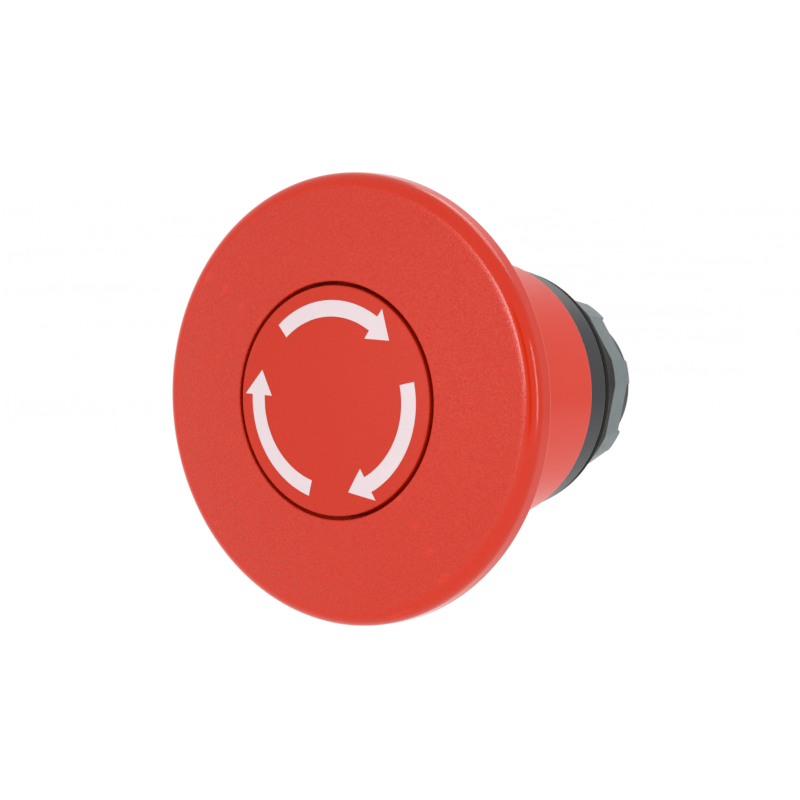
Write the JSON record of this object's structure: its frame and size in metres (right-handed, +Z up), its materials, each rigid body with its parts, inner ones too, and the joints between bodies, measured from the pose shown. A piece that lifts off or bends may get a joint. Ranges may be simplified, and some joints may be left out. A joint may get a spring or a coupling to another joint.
{
  "type": "emergency stop button",
  "caption": "Panel-mounted emergency stop operator: domed red mushroom head on a long neck, push to latch and twist to release, with collar, threaded bushing and castellated lock nut.",
  "frame": {"origin": "on the operator's axis, in the plane where the gasket meets the panel's front face", "axes": "+Y along the axis into the panel, the head faces -Y; +Z up, through the anti-rotation key; +X to the right of the front view's up direction"},
  "size_m": [0.06, 0.0572, 0.06],
  "materials": {
    "cap_red": "fine grain satin",
    "insert_red": "fine grain satin",
    "print_white": "flat ink",
    "neck_red": "gloss",
    "zinc_steel": "zinc plated",
    "spindle_steel": "turned",
    "spring_steel": "drawn wire",
    "carrier_natural": "satin",
    "pusher_black": "satin",
    "pin_brass": "turned",
    "ring_brass": "turned",
    "clip_dark": "phosphated",
    "bushing_black": "satin",
    "collar_black": "satin",
    "rubber_black": "matt",
    "pad_black": "matt",
    "nut_grey": "satin"
  },
  "bodies": {
    "housing": {"threaded_bushing": "bushing_black", "bezel_collar": "collar_black", "panel_gasket": "rubber_black", "flange_o_ring": "rubber_black", "guide_bush": "carrier_natural", "latch_ring": "ring_brass", "ring_clip": "clip_dark", "return_spring": "spring_steel", "sealing_bellows": "rubber_black"},
    "carrier": {"slide_carrier": "carrier_natural", "contact_pusher": "pusher_black", "latch_spring": "spring_steel"},
    "head": {"mushroom_cap": "cap_red", "cap_insert": "insert_red", "arrow_marks": "print_white", "neck_skirt": "neck_red", "head_screw": "zinc_steel", "screw_washer": "zinc_steel", "spindle": "spindle_steel", "twist_spring": "spring_steel", "spindle_clip": "spring_steel"},
    "pin_left": {"latch_pin_left": "pin_brass"},
    "pin_right": {"latch_pin_right": "pin_brass"},
    "nut_carriage": {"thrust_washer": "zinc_steel"},
    "nut": {"lock_nut": "nut_grey", "nut_pad": "pad_black"}
  },
  "joints": [
    {"name": "head_push", "type": "slide", "parent": "housing", "child": "carrier", "axis": [0, 1, 0], "range_m": [0, 0.0045], "stiffness_N_per_m": 2200, "springref_m": -0.005, "deforming": ["return_spring", "sealing_bellows"]},
    {"name": "head_twist", "type": "hinge", "parent": "carrier", "child": "head", "pos_m": [0, -0.02, 0], "axis": [0, 1, 0], "range_deg": [0, 40], "stiffness_Nm_per_rad": 0.12, "springref_deg": -20.05, "deforming": ["twist_spring"]},
    {"name": "pin_right_slide", "type": "slide", "parent": "carrier", "child": "pin_right", "axis": [-1, 0, 0], "range_m": [0, 0.0009], "deforming": ["latch_spring"]},
    {"name": "pin_left_slide", "type": "slide", "parent": "carrier", "child": "pin_left", "axis": [1, 0, 0], "range_m": [0, 0.0009]},
    {"name": "nut_travel", "type": "slide", "parent": "housing", "child": "nut_carriage", "axis": [0, 1, 0], "range_m": [0, 0.009]},
    {"name": "nut_turn", "type": "hinge", "parent": "nut_carriage", "child": "nut", "pos_m": [0, 0.003, 0], "axis": [0, 1, 0], "range_deg": [0, 2160]}
  ],
  "couplings": [
    {"joint": "pin_right_slide", "follows": "head_push", "ratio": 0.2},
    {"joint": "pin_left_slide", "follows": "head_push", "ratio": 0.2},
    {"joint": "nut_travel", "follows": "nut_turn", "m_per_rad": 0.00023873}
  ]
}
